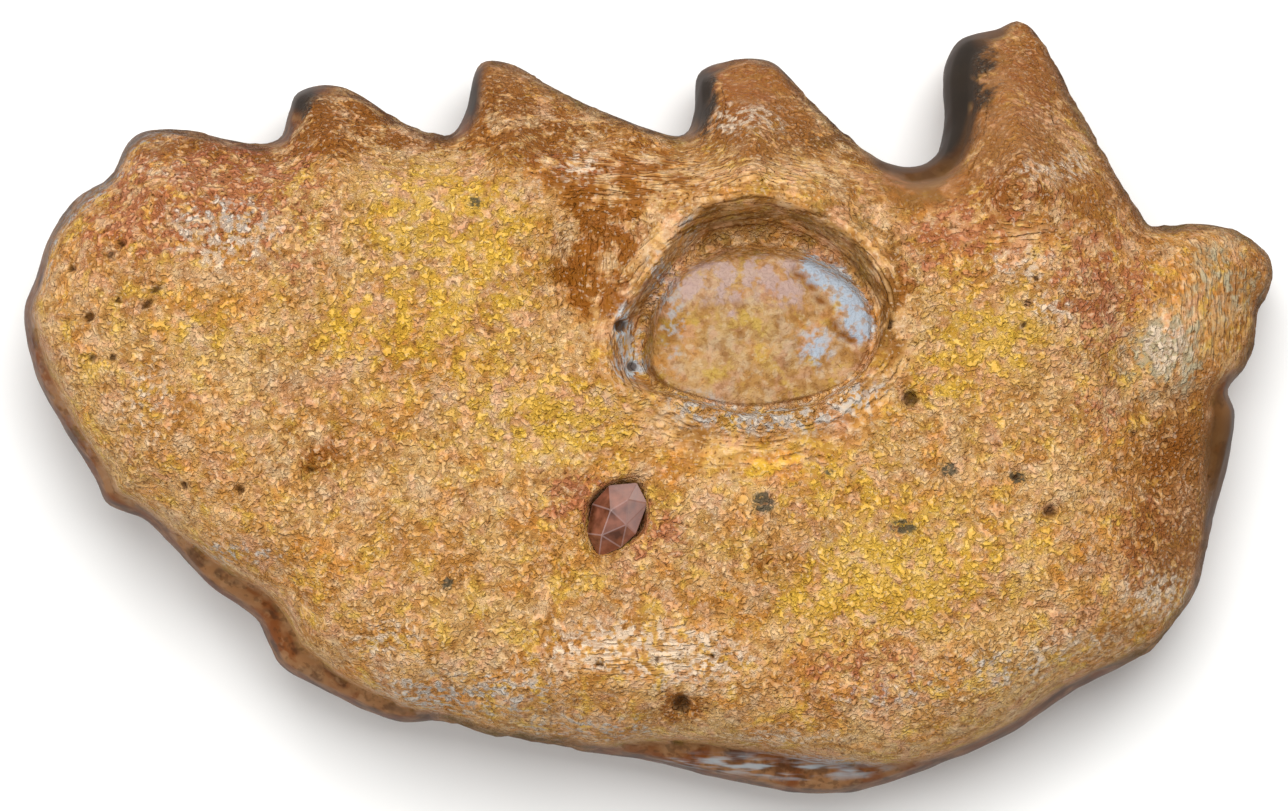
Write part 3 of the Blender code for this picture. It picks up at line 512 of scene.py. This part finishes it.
# The stains of the bone, each painted as soft ovals and broken up by its material. Olive and umber also
# # carry painted shade, and blush and bluish painted highlight
STAINS = {
    "yellow": [
        (-7.7, 7.0, 3.2, 1.8, 0.9), (-10.0, 2.8, 3.0, 2.2, 0.5), (-3.7, -0.5, 3.0, 1.6, 0.9),
        (-6.3, 3.9, 2.4, 1.8, 0.6), (9.3, -6.2, 3.0, 2.2, 1.0), (7.0, -7.2, 2.5, 1.4, 0.6),
        (12.6, 2.8, 2.2, 1.8, 0.8), (5.6, -2.4, 4.0, 1.2, 0.5), (-16.6, 2.8, 2.4, 1.6, 0.4),
        (14.2, -5.0, 2.4, 1.6, 0.3), (10.5, 0.8, 1.2, 1.2, 0.5),
    ],
    "rust": [
        (-1.6, 5.6, 1.5, 2.0, 1.0), (-2.2, 5.2, 1.1, 1.6, 0.9), (-1.1, 8.4, 3.2, 1.2, 1.0),
        (-10.0, 10.2, 4.2, 1.0, 0.7), (-11.8, 11.0, 2.2, 1.2, 0.7), (-5.5, 11.7, 1.6, 1.6, 0.5),
        (-3.3, 10.2, 3.2, 1.1, 0.6), (-12.5, -1.6, 1.7, 1.1, 0.6), (4.5, -5.7, 1.8, 1.0, 0.4),
        (19.3, -1.8, 1.1, 1.4, 0.8), (1.2, -11.0, 0.9, 0.7, 1.0), (9.0, 3.9, 1.0, 2.8, 0.6),
        (7.0, 10.0, 2.0, 0.9, 0.6), (14.0, 8.0, 2.0, 1.4, 0.5), (-15.0, 9.4, 3.0, 0.8, 0.7),
        (-19.0, -2.0, 1.2, 2.0, 0.3),
    ],
    "rose": [
        (-15.9, 8.0, 3.8, 1.8, 1.0), (-19.2, 6.5, 2.2, 1.6, 0.5), (-2.7, -3.3, 1.3, 1.0, 0.9),
        (0.1, -4.7, 1.3, 1.4, 0.7), (16.7, 4.3, 2.2, 2.2, 0.8), (11.1, 5.8, 2.5, 1.6, 0.5),
        (7.8, -9.4, 3.2, 2.0, 0.5), (18.5, -4.9, 1.6, 1.8, 0.6), (13.0, 7.6, 2.6, 1.2, 0.5),
        (3.4, 11.7, 1.6, 1.5, 0.7), (14.1, 12.1, 1.3, 2.3, 0.6), (-2.9, 8.8, 2.2, 0.9, 0.4),
        (-13.0, 5.0, 2.2, 1.6, 0.3), (16.4, -0.4, 1.8, 1.4, 0.4),
    ],
    "chalk": [
        (-15.6, 6.4, 2.0, 1.2, 1.0), (-18.0, 8.8, 1.4, 0.7, 0.4), (-1.1, -8.7, 3.2, 0.9, 1.0),
        (1.6, -9.5, 2.2, 1.0, 0.9), (-9.6, -8.6, 1.6, 1.0, 0.6), (-8.5, -10.5, 1.7, 0.8, 0.7),
        (18.9, -6.9, 1.5, 0.9, 1.0), (19.1, 2.4, 1.0, 1.2, 1.0), (14.8, 3.6, 0.8, 0.6, 0.9),
        (13.7, 5.2, 1.4, 0.8, 0.7), (3.4, 10.6, 1.8, 0.6, 0.8), (14.3, 8.7, 1.0, 0.5, 0.7),
        (15.8, 8.9, 0.5, 0.5, 0.8), (-2.6, 8.9, 1.0, 0.7, 0.7), (-4.8, -10.2, 1.5, 0.7, 0.7),
        (-18.4, 0.2, 1.4, 1.8, 0.5), (4.6, -0.45, 2.8, 0.4, 1.0), (7.4, 0.2, 1.2, 0.5, 0.8),
        (5.0, -12.2, 2.4, 0.5, 0.6), (16.0, -8.8, 2.4, 0.7, 0.5),
    ],
    # Olive: partly a real olive-brown stain, partly painted shade on the hollow's upper wall, the notch and
    # the right end
    "olive_and_shade": [
        (5.6, 6.6, 3.2, 1.0, 0.7), (8.1, 5.2, 0.9, 1.7, 0.8), (2.6, 6.4, 1.4, 1.1, 0.7),
        (10.2, 8.2, 1.4, 0.8, 1.0), (8.8, 3.0, 0.5, 1.0, 0.8), (0.3, 3.2, 0.8, 1.6, 0.4),
        (21.0, -2.4, 1.0, 2.6, 0.7), (6.8, 9.8, 2.0, 0.7, 0.6),
    ],
    # Bluish: partly a real blue-white crust round the scar, partly painted highlight on the crown's lower
    # edge
    "bluish_and_highlight": [
        (6.1, 2.2, 0.8, 0.9, 0.45), (-1.0, 3.0, 0.4, 0.6, 0.5), (-0.6, 1.5, 0.6, 0.5, 0.6),
        (3.0, -13.2, 3.2, 0.35, 1.0), (6.4, -13.5, 2.8, 0.3, 1.0), (0.4, 4.4, 0.3, 0.9, 0.3),
    ],
    # Umber: partly a real brown stain, partly painted shade on the falling cusps and the right end
    "umber_and_shade": [
        (13.4, 11.2, 2.4, 3.8, 1.0), (3.9, 11.0, 2.2, 2.2, 0.9), (20.2, -2.2, 2.0, 3.6, 0.9),
        (9.4, 8.4, 2.2, 1.0, 1.0), (-5.2, 11.9, 1.5, 1.4, 0.5), (-12.0, 10.8, 1.3, 1.0, 0.5),
        (17.2, 7.4, 1.6, 1.6, 0.5), (19.0, -5.4, 1.4, 1.6, 0.4), (22.2, 4.0, 0.9, 2.4, 0.5),
        (-17.5, 9.8, 2.0, 0.7, 0.5),
    ],
    "celadon": [(19.4, 2.2, 1.1, 1.5, 1.0), (21.4, 4.8, 1.6, 1.8, 0.5), (18.0, 1.6, 0.8, 1.4, 0.5)],
    "slate": [
        (11.4, 12.6, 1.3, 1.8, 1.0), (11.0, 10.4, 0.7, 1.4, 0.9), (2.0, 11.5, 0.5, 1.2, 1.0),
        (-12.9, 11.5, 0.6, 0.7, 1.0), (-6.6, 11.6, 0.28, 1.0, 1.0), (21.8, -1.4, 0.5, 2.2, 0.5),
    ],
    "ash": [
        (4.6, -0.5, 2.9, 0.55, 1.0), (1.6, 0.1, 1.0, 0.6, 0.7), (7.8, 0.6, 1.0, 0.6, 0.8),
        (-0.8, 2.4, 0.7, 1.6, 0.7), (0.3, 4.8, 0.5, 1.2, 0.7), (0.9, 3.0, 0.5, 1.8, 0.7),
        (1.4, 6.6, 0.6, 1.0, 0.5), (-6.6, -10.6, 3.4, 0.8, 0.8), (-2.0, -11.9, 3.0, 0.6, 0.6),
        (-15.4, -5.4, 2.2, 0.5, 0.6), (13.0, -9.6, 2.6, 0.9, 0.5), (8.6, -10.6, 2.4, 0.9, 0.4),
        (-15.6, 6.9, 2.2, 1.0, 0.5),
    ],
    # Blush: a pink-white tint of the core, with painted highlight along its lit top edge and one painted
    # glint
    "blush_and_highlight": [
        (2.0, 4.4, 1.7, 0.6, 1.0), (3.9, 4.9, 1.8, 0.6, 1.0), (5.2, 4.0, 0.8, 0.6, 0.5),
        (3.0, 3.35, 0.2, 0.2, 1.0),
    ],
    "manganese": [
        (4.2, -3.5, 0.4, 0.36, 1.0), (11.0, -2.3, 0.3, 0.26, 0.9), (13.5, -2.6, 0.3, 0.26, 0.9),
        (9.3, -4.4, 0.5, 0.26, 0.9), (-6.4, 7.5, 0.2, 0.26, 0.8), (-7.4, -6.5, 0.22, 0.3, 0.8),
        (6.6, -2.4, 0.2, 0.2, 0.6), (-9.0, 4.2, 0.18, 0.18, 0.6),
    ],
}

# A thin ashen rind runs round the left end, blue-white on its upper part
RIND_FROM = -16.0
RIND_FADE = 3.0
RIND_WIDTH = 0.6
RIND_BLUE_FROM = -2.0
RIND_ASHEN = 0.7
RIND_BLUE = 0.35
left_rind = smoothstep((RIND_FROM - surface[:, 0]) / RIND_FADE) * top_side
left_rind *= np.exp(-((from_edge / RIND_WIDTH) ** 2))
blue_rind = left_rind * (surface[:, 1] > RIND_BLUE_FROM)

# Every shade of the surface, from 0 to 1. It is steep where its outward direction rises less than this, and
# painted shade darkens the steep side
STEEP_BELOW = 0.55
# How strongly painted shade darkens the crystal's pocket
POCKET_SHADE = 0.8
SHADES = {
    "polished": polished, "fibres_along": fibres_along, "fibres_down": fibres_down,
    "hollow": hollow, "laminae": 0.5 + 0.4 * laminae, "core": in_core,
    "crown": on_crown, "pit_shade": np.clip(pit_shade + POCKET_SHADE * pocket, 0.0, 1.0), "cracked": cracked,
    # The steep side's mask, which carries its painted shade
    "steep": (1.0 - smoothstep(np.abs(facing_out[:, 2]) / STEEP_BELOW)) * (down > bone_side),
}
for name, spots in STAINS.items():
    SHADES[name] = blobs(spots)
# The painted highlight beside the scar's crack joins the bluish shade
SHADES["bluish_and_highlight"] += np.exp(-((away_from(SCAR_HIGHLIGHT) / SCAR_HIGHLIGHT_WIDTH) ** 2)) * top_side
SHADES["bluish_and_highlight"] = np.clip(SHADES["bluish_and_highlight"] + RIND_BLUE * blue_rind, 0.0, 1.0)
SHADES["ash"] = np.clip(SHADES["ash"] + RIND_ASHEN * left_rind, 0.0, 1.0)

# The grain is faint on polished bone, and a little stronger where the bone is stained or fibrous
CALM_VIGOUR = 0.75
STIRRED_VIGOUR = 0.3
stirred = np.clip(SHADES["rust"] + SHADES["rose"] + fibres_along, 0.0, 1.0)
SHADES["vigour"] = (1.0 - polished) * (CALM_VIGOUR + STIRRED_VIGOUR * stirred)

# The shades are kept three to an attribute: paint_0, paint_1 and so on
shade_names = list(SHADES)
for first in range(0, len(shade_names), 3):
    trio = np.zeros((len(surface), 3), dtype=np.float32)
    for place, name in enumerate(shade_names[first:first + 3]):
        trio[:, place] = SHADES[name]
    painted = plate_mesh.attributes.new(f"paint_{first // 3}", "FLOAT_VECTOR", "POINT")
    painted.data.foreach_set("vector", trio.ravel())


# The tooth plate's material
# Fossil bone, filled with ochre iron minerals: matt, with a fine wrinkled grain that breaks up each stain,
# with
# # painted shade in its creases, hollows and holes and painted highlight on its tops. The crown round its
# edge is
# # enamelled dentine, smoother and darker, stained brown, slate and blue-white, with painted shade on its
# steep side;
# # part of the brown is painted shade and part of the blue-white is painted highlight.


def linear(hex_colour):
    """An sRGB colour written as six hexadecimal digits, as linear red, green, blue and alpha."""
    values = [int(hex_colour[at:at + 2], 16) / 255.0 for at in (0, 2, 4)]
    return (*[v / 12.92 if v <= 0.04045 else ((v + 0.055) / 1.055) ** 2.4 for v in values], 1.0)


def add_node(material, kind, settings=None, inputs=None):
    """Adds a node with these settings; each input is a constant, or the output socket that feeds it."""
    node = material.node_tree.nodes.new(kind)
    for name, value in (settings or {}).items():
        setattr(node, name, value)
    for name, value in (inputs or {}).items():
        if isinstance(value, bpy.types.NodeSocket):
            material.node_tree.links.new(value, node.inputs[name])
        else:
            node.inputs[name].default_value = value
    return node


def new_material(name):
    """A new material and its shader."""
    material = bpy.data.materials.new(name)
    material.use_nodes = True
    return material, material.node_tree.nodes["Principled BSDF"]


# The sockets by which a Mix node takes and gives colours
MIX_FACTOR, MIX_A, MIX_B, MIX_RESULT = 0, 6, 7, 2

WRINKLE_HEIGHT = 0.08 * MM
BONE_ROUGHNESS = 0.65
CROWN_ROUGHNESS = 0.5

bone, bone_shader = new_material("fossil_bone_and_crown")
coords = add_node(bone, "ShaderNodeTexCoord").outputs["Object"]
inputs = {0: coords, "Scale": 1.0 / MM}
in_mm = add_node(bone, "ShaderNodeVectorMath", {"operation": "SCALE"}, inputs).outputs[0]


def bone_noise(per_mm, detail, distortion=0.0, stretch=(1.0, 1.0, 1.0)):
    """A noise value over the bone, with this many waves to the millimetre."""
    stretched = add_node(bone, "ShaderNodeVectorMath", {"operation": "MULTIPLY"}, {0: in_mm, 1: stretch})
    inputs = {"Vector": stretched.outputs[0], "Scale": per_mm, "Detail": detail, "Distortion": distortion}
    return add_node(bone, "ShaderNodeTexNoise", {}, inputs).outputs[0]


def ranged(value, low, high, to_low=0.0, to_high=1.0):
    """The value eased from the range low to high onto the range to_low to to_high."""
    inputs = {"Value": value, "From Min": low, "From Max": high, "To Min": to_low, "To Max": to_high}
    return add_node(bone, "ShaderNodeMapRange", {"interpolation_type": "SMOOTHSTEP"}, inputs).outputs[0]


def combined(operation, first, second):
    """One arithmetic step on two values."""
    return add_node(bone, "ShaderNodeMath", {"operation": operation}, {0: first, 1: second}).outputs[0]


def layered(factor, under, over, blend="MIX"):
    """One colour over another, by a factor."""
    settings = {"data_type": "RGBA", "blend_type": blend}
    inputs = {MIX_FACTOR: factor, MIX_A: under, MIX_B: over}
    return add_node(bone, "ShaderNodeMix", settings, inputs).outputs[MIX_RESULT]


paint_outputs = {}


def painted_with(name):
    """How far the surface is painted with this shade."""
    group, place = divmod(shade_names.index(name), 3)
    if group not in paint_outputs:
        trio = add_node(bone, "ShaderNodeAttribute", {"attribute_name": f"paint_{group}"})
        separated = add_node(bone, "ShaderNodeSeparateXYZ", {}, {"Vector": trio.outputs["Vector"]})
        paint_outputs[group] = separated.outputs
    return paint_outputs[group][place]


def between(factor, low, high):
    """One value over another, by a factor."""
    return add_node(bone, "ShaderNodeMix", {"data_type": "FLOAT"}, {0: factor, 2: low, 3: high}).outputs[0]


def product(*values):
    """All the values multiplied together."""
    result = values[0]
    for value in values[1:]:
        result = combined("MULTIPLY", result, value)
    return result


# Noises from clouds 4 mm across down to specks of 0.15 mm
broad = bone_noise(0.25, 2.0)
middling = bone_noise(0.8, 3.0, 0.5)
specks = bone_noise(6.0, 1.0)
mottled = [bone_noise(0.65, 2.0, 0.8), bone_noise(1.1, 3.0), bone_noise(2.0, 3.0), bone_noise(3.4, 2.0)]
rough_part = combined("SUBTRACT", 1.0, painted_with("polished"))

# The bone's grain: fine wrinkles, drawn out along or across the plate where its fibres run, and round
# the scar in its hollow. Each wrinkle is a thin crease between rounded swellings, darkened with painted
# shade
wrinkles = combined("ADD", product(bone_noise(4.2, 3.0), 0.72), product(mottled[2], 0.28))
along_wrinkles = bone_noise(3.6, 2.0, 0.0, (0.2, 1.1, 1.0))
down_wrinkles = bone_noise(3.6, 2.0, 0.0, (1.0, 0.22, 1.0))
grain = between(painted_with("fibres_along"), wrinkles, along_wrinkles)
grain = between(painted_with("fibres_down"), grain, down_wrinkles)
grain = between(product(painted_with("hollow"), 0.7), grain, painted_with("laminae"))
swelling = combined("ABSOLUTE", combined("SUBTRACT", grain, 0.5), 0.0)

# Tan bone, deeper and paler in broad clouds, then mottled: which noise, its range, colour and strength
tan = layered(ranged(broad, 0.36, 0.64), linear("bd8644"), linear("cba266"))
tan = layered(ranged(middling, 0.5, 0.66, 0.0, 0.5), tan, linear("aa6e28"))
tan = layered(ranged(middling, 0.48, 0.34, 0.0, 0.5), tan, linear("dcb27e"))
MOTTLES = [
    (0, 0.53, 0.66, "cf8638", 0.55), (0, 0.46, 0.33, "cc9472", 0.6), (1, 0.53, 0.66, "d8b044", 0.55),
    (1, 0.46, 0.33, "ceb494", 0.45), (2, 0.52, 0.66, "96602a", 0.5), (2, 0.46, 0.33, "d4a07a", 0.5),
    (3, 0.54, 0.68, "e2bf8e", 0.5), (3, 0.45, 0.33, "925e28", 0.5),
]
for which, low, high, colour, strength in MOTTLES:
    tan = layered(ranged(mottled[which], low, high, 0.0, strength), tan, linear(colour))

# How stains end: which noise tears their edge, and how far they reach past it
in_wrinkles = between(painted_with("polished"), ranged(grain, 0.36, 0.64, 0.5, 1.3), 0.9)
EDGES = {
    "washed": (0, 1.2), "torn": (1, 0.7), "ragged": (2, 0.65), "crumbled": (3, 0.4), "crusted": (3, 1.0),
}
edges = {}
for name, (which, reach) in EDGES.items():
    edges[name] = product(ranged(mottled[which], 0.36, 0.64, reach - 0.5, reach + 0.75), in_wrinkles)

# Each stain: its shade, colour, edge and strength
STAIN_LOOKS = [
    ("yellow", "dcb036", "ragged", 0.6), ("rust", "84480a", "torn", 0.9), ("rose", "a65e42", "ragged", 0.75),
    ("umber_and_shade", "88501e", "washed", 0.8), ("olive_and_shade", "705029", "torn", 0.6),
    ("celadon", "aca486", "ragged", 0.8), ("blush_and_highlight", "cbaca0", "ragged", 0.75),
    ("chalk", "d9c3aa", "crumbled", 0.8), ("ash", "b6b0a8", "crumbled", 0.8),
    ("bluish_and_highlight", "b6c0c6", "crusted", 0.95), ("slate", "2b2621", "washed", 0.95),
]
stained = tan
for name, colour, edge, strength in STAIN_LOOKS:
    amount = ranged(product(painted_with(name), edges[edge]), 0.08, 0.7, 0.0, strength)
    stained = layered(amount, stained, linear(colour))

# Dark creases and hollows of the grain, partly the bone's own colour and partly painted shade, and pale tops
# # of painted highlight, strongest where the bone is stained; then scattered painted glints, and dark specks
# # of painted shade for tiny pits
vigour = painted_with("vigour")
# Creases: partly the bone's own dark, partly painted shade
crease_shade = product(ranged(swelling, 0.05, 0.005), ranged(middling, 0.3, 0.7, 0.25, 0.7), vigour)
grained = layered(crease_shade, stained, linear("7a4a18"))
# Painted shade in the grain's hollows
grain_hollow_shade = product(ranged(grain, 0.4, 0.28, 0.0, 0.7), vigour)
grained = layered(grain_hollow_shade, grained, linear("80501c"))
# Painted highlight on the grain's tops
top_highlights = product(ranged(grain, 0.56, 0.74, 0.0, 0.35), vigour)
grained = layered(top_highlights, grained, linear("e6c08a"))
# Painted glints
glints = product(ranged(specks, 0.6, 0.7, 0.0, 0.25), vigour)
grained = layered(glints, grained, linear("ecd8bc"))
# Painted shade of tiny pits, as dark specks
pit_speck_shade = product(ranged(specks, 0.38, 0.29, 0.0, 0.75), vigour)
grained = layered(pit_speck_shade, grained, linear("55300c"))

# The scar's greyer core and its crack, the manganese spots, and painted shade in the holes and the crystal's
# pocket
spots = ranged(product(painted_with("manganese"), ranged(specks, 0.3, 0.55, 0.4, 1.2)), 0.2, 0.55, 0.0, 0.85)
spotted = layered(product(painted_with("core"), 0.9), grained, linear("cfd3dc"), "MULTIPLY")
spotted = layered(product(painted_with("cracked"), 0.95), spotted, linear("74420f"))
spotted = layered(spots, spotted, linear("3e3f34"))
# Painted shade in the holes and the pocket
spotted = layered(ranged(painted_with("pit_shade"), 0.3, 0.9, 0.0, 0.85), spotted, linear("3d2208"))

# The crown's dentine, in clouds of brown and dark enamel, with the stains that cross onto it, the umber
# # with its painted shade and the bluish with its painted highlight
enamel = layered(ranged(middling, 0.4, 0.6), linear("74401b"), linear("8c623e"))
enamel = layered(ranged(mottled[1], 0.5, 0.64, 0.0, 0.6), enamel, linear("3f291c"))
enamel = layered(ranged(mottled[2], 0.54, 0.68, 0.0, 0.5), enamel, linear("9a7450"))
enamel = layered(ranged(mottled[3], 0.46, 0.36, 0.0, 0.4), enamel, linear("3f2814"))
# Umber on the crown, partly painted shade on the cusps
enamel = layered(product(ranged(painted_with("umber_and_shade"), 0.1, 0.7), 0.8), enamel, linear("4e3112"))
# Blue-white streaks on the crown, partly painted highlight along its lower edge
streaked = product(painted_with("bluish_and_highlight"), ranged(along_wrinkles, 0.34, 0.66, 0.1, 1.2))
enamel = layered(ranged(streaked, 0.1, 1.1, 0.0, 0.75), enamel, linear("a3aeb4"))
enamel = layered(ranged(painted_with("slate"), 0.1, 0.7, 0.0, 0.95), enamel, linear("26221e"))
whole = layered(painted_with("crown"), spotted, enamel)

# Painted shade darkens the steep side, and the wrinkles stand up by less than a tenth of a millimetre
steep_side_shade = product(painted_with("steep"), ranged(mottled[1], 0.35, 0.65, 0.45, 0.85))
whole = layered(steep_side_shade, whole, linear("3a2415"))
swollen = combined("ADD", ranged(swelling, 0.0, 0.1), product(grain, 1.2))
inputs = {"Strength": 1.0, "Distance": WRINKLE_HEIGHT, "Height": product(swollen, rough_part)}
bump = add_node(bone, "ShaderNodeBump", {}, inputs).outputs[0]
matt = ranged(painted_with("polished"), 0.0, 1.0, BONE_ROUGHNESS, CROWN_ROUGHNESS)
bone.node_tree.links.new(whole, bone_shader.inputs["Base Color"])
bone.node_tree.links.new(bump, bone_shader.inputs["Normal"])
bone.node_tree.links.new(matt, bone_shader.inputs["Roughness"])
bone_shader.inputs["Specular IOR Level"].default_value = 0.06

plate_mesh.materials.append(bone)
plate = bpy.data.objects.new("fossil_plate", plate_mesh)
bpy.context.scene.collection.objects.link(plate)
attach(plate, "root")
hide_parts("tooth_plate")


# The mineral grain
# An angular chip of dark reddish-brown crystal from the rock, still wedged in a pit of the bone. It is
# glassy on its fresh broken faces.

# Its half height and bevel, and its corners as shares of its half length, half width and half height
CHIP_HALF_HEIGHT = 0.95
CHIP_BEVEL = 0.03
CHIP_CORNERS = [
    (-1.1, -0.15, 0.1), (-0.7, 0.7, 0.0), (-0.6, -0.75, 0.1), (0.05, 1.05, -0.1), (-0.1, -1.0, 0.15),
    (0.7, 0.8, 0.1), (1.1, -0.1, 0.2), (0.75, -0.85, -0.1), (-0.55, 0.15, 0.85), (0.15, 0.3, 1.1),
    (0.6, -0.1, 0.9), (0.0, -0.5, 0.75), (-0.6, 0.4, -1.0), (-0.6, -0.4, -1.0), (0.6, 0.4, -1.0),
    (0.6, -0.4, -1.0),
]

# Painted highlight lies on its edges, which are the narrow faces, and on the facets that lean this way,
# toward the light
LIT_SIDE = Vector((0.75, 0.6, 0.1))
WIDEST_EDGE_AREA = 0.04 * MM**2
EDGE_HIGHLIGHT = 0.3
FACET_HIGHLIGHT = 0.8

# Iron-stained quartz: glassy, dark reddish brown in clouds of half a millimetre, under pale painted
# highlight on edges and lit facets
crystal, crystal_shader = new_material("reddish_brown_crystal")
crystal_coords = add_node(crystal, "ShaderNodeTexCoord").outputs["Object"]
inputs = {"Vector": crystal_coords, "Scale": 2.2 / MM, "Detail": 3.0}
cloud = add_node(crystal, "ShaderNodeTexNoise", {}, inputs).outputs[0]
inputs = {"Value": cloud, "From Min": 0.3, "From Max": 0.7}
cloudy = add_node(crystal, "ShaderNodeMapRange", {}, inputs).outputs[0]
inputs = {MIX_FACTOR: cloudy, MIX_A: linear("4f2a1a"), MIX_B: linear("8c5540")}
crystal_colour = add_node(crystal, "ShaderNodeMix", {"data_type": "RGBA"}, inputs).outputs[MIX_RESULT]
highlighted = add_node(crystal, "ShaderNodeAttribute", {"attribute_name": "painted_highlight"}).outputs["Fac"]
inputs = {MIX_FACTOR: highlighted, MIX_A: crystal_colour, MIX_B: linear("bfa8a6")}
crystal_colour = add_node(crystal, "ShaderNodeMix", {"data_type": "RGBA"}, inputs).outputs[MIX_RESULT]
crystal.node_tree.links.new(crystal_colour, crystal_shader.inputs["Base Color"])
crystal_shader.inputs["Roughness"].default_value = 0.22

low, high = (Vector(corner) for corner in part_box("mineral_grain"))
chip_size = Vector((GRAIN_HALF_LENGTH, GRAIN_HALF_WIDTH, CHIP_HALF_HEIGHT)) * MM
chip = bmesh.new()
for corner in CHIP_CORNERS:
    bmesh.ops.create_vert(chip, co=corner)
bmesh.ops.convex_hull(chip, input=chip.verts)
bmesh.ops.scale(chip, vec=chip_size, verts=chip.verts)
chip.transform(Matrix.Translation((low + high) / 2) @ Matrix.Rotation(math.radians(GRAIN_TURN), 4, "Z"))
bmesh.ops.bevel(
    chip, geom=chip.edges[:], offset=CHIP_BEVEL * MM, segments=2, profile=0.5, affect="EDGES", material=-1
)
bmesh.ops.recalc_face_normals(chip, faces=chip.faces)
chip_mesh = bpy.data.meshes.new("crystal_chip")
chip.to_mesh(chip_mesh)
chip.free()
# Each facet's painted highlight
highlight_by_facet = [
    EDGE_HIGHLIGHT if facet.area < WIDEST_EDGE_AREA else FACET_HIGHLIGHT * max(facet.normal.dot(LIT_SIDE), 0.0)
    for facet in chip_mesh.polygons
]
chip_mesh.attributes.new("painted_highlight", "FLOAT", "FACE").data.foreach_set("value", highlight_by_facet)
chip_mesh.materials.append(crystal)
chip_object = bpy.data.objects.new("crystal_chip", chip_mesh)
bpy.context.scene.collection.objects.link(chip_object)
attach(chip_object, "root")
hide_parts("mineral_grain")


# The floor and the light
# A plain pale paper on the table, matt and evenly lit, so that nothing on it draws the eye. A wide soft
# box hangs overhead a little toward the cusps, a weak one at the left, and the room all round is pale.
FLOOR_HALF_SIZE = 0.6
ROOM_LIGHT = 0.4

paper, paper_shader = new_material("pale_paper")
paper_shader.inputs["Base Color"].default_value = linear("f4f4f2")
paper_shader.inputs["Roughness"].default_value = 0.9
floor_shape = bmesh.new()
bmesh.ops.create_grid(floor_shape, x_segments=1, y_segments=1, size=FLOOR_HALF_SIZE)
floor_mesh = bpy.data.meshes.new("table_top")
floor_shape.to_mesh(floor_mesh)
floor_shape.free()
floor_mesh.materials.append(paper)
floor = bpy.data.objects.new("table_top", floor_mesh)
bpy.context.scene.collection.objects.link(floor)

# Each light: its name, place, size and power
LIGHTS = [
    ("soft_box", (0.02, 0.12, 0.34), 0.22, 1.5),
    ("side_fill", (-0.26, -0.05, 0.2), 0.2, 0.35),
]
for name, place, size, power in LIGHTS:
    lamp = bpy.data.lights.new(name, "AREA")
    lamp.size = size
    lamp.energy = power
    lamp_object = bpy.data.objects.new(name, lamp)
    bpy.context.scene.collection.objects.link(lamp_object)
    lamp_object.location = place
    lamp_object.rotation_euler = Vector(place).to_track_quat("Z", "Y").to_euler()
world = bpy.context.scene.world or bpy.data.worlds.new("room")
bpy.context.scene.world = world
world.use_nodes = True
world.node_tree.nodes["Background"].inputs["Color"].default_value = (1.0, 1.0, 1.0, 1.0)
world.node_tree.nodes["Background"].inputs["Strength"].default_value = ROOM_LIGHT
bpy.context.scene.view_settings.view_transform = "Standard"

# The camera looks straight down on the plate, as the photograph does
SENSOR_WIDTH = 36.0
CAMERA_X = -0.19 * MM
CAMERA_Y = 0.04 * MM
CAMERA_HEIGHT = 0.5
VIEW_WIDTH = 0.047656
FOCUS_LEVEL = 0.008
camera = bpy.data.cameras.new("camera")
camera.sensor_width = SENSOR_WIDTH
camera.lens = SENSOR_WIDTH * CAMERA_HEIGHT / VIEW_WIDTH
camera.clip_start = 0.01
camera_object = bpy.data.objects.new("camera", camera)
bpy.context.scene.collection.objects.link(camera_object)
camera_object.location = (CAMERA_X, CAMERA_Y, CAMERA_HEIGHT + FOCUS_LEVEL)
bpy.context.scene.camera = camera_object
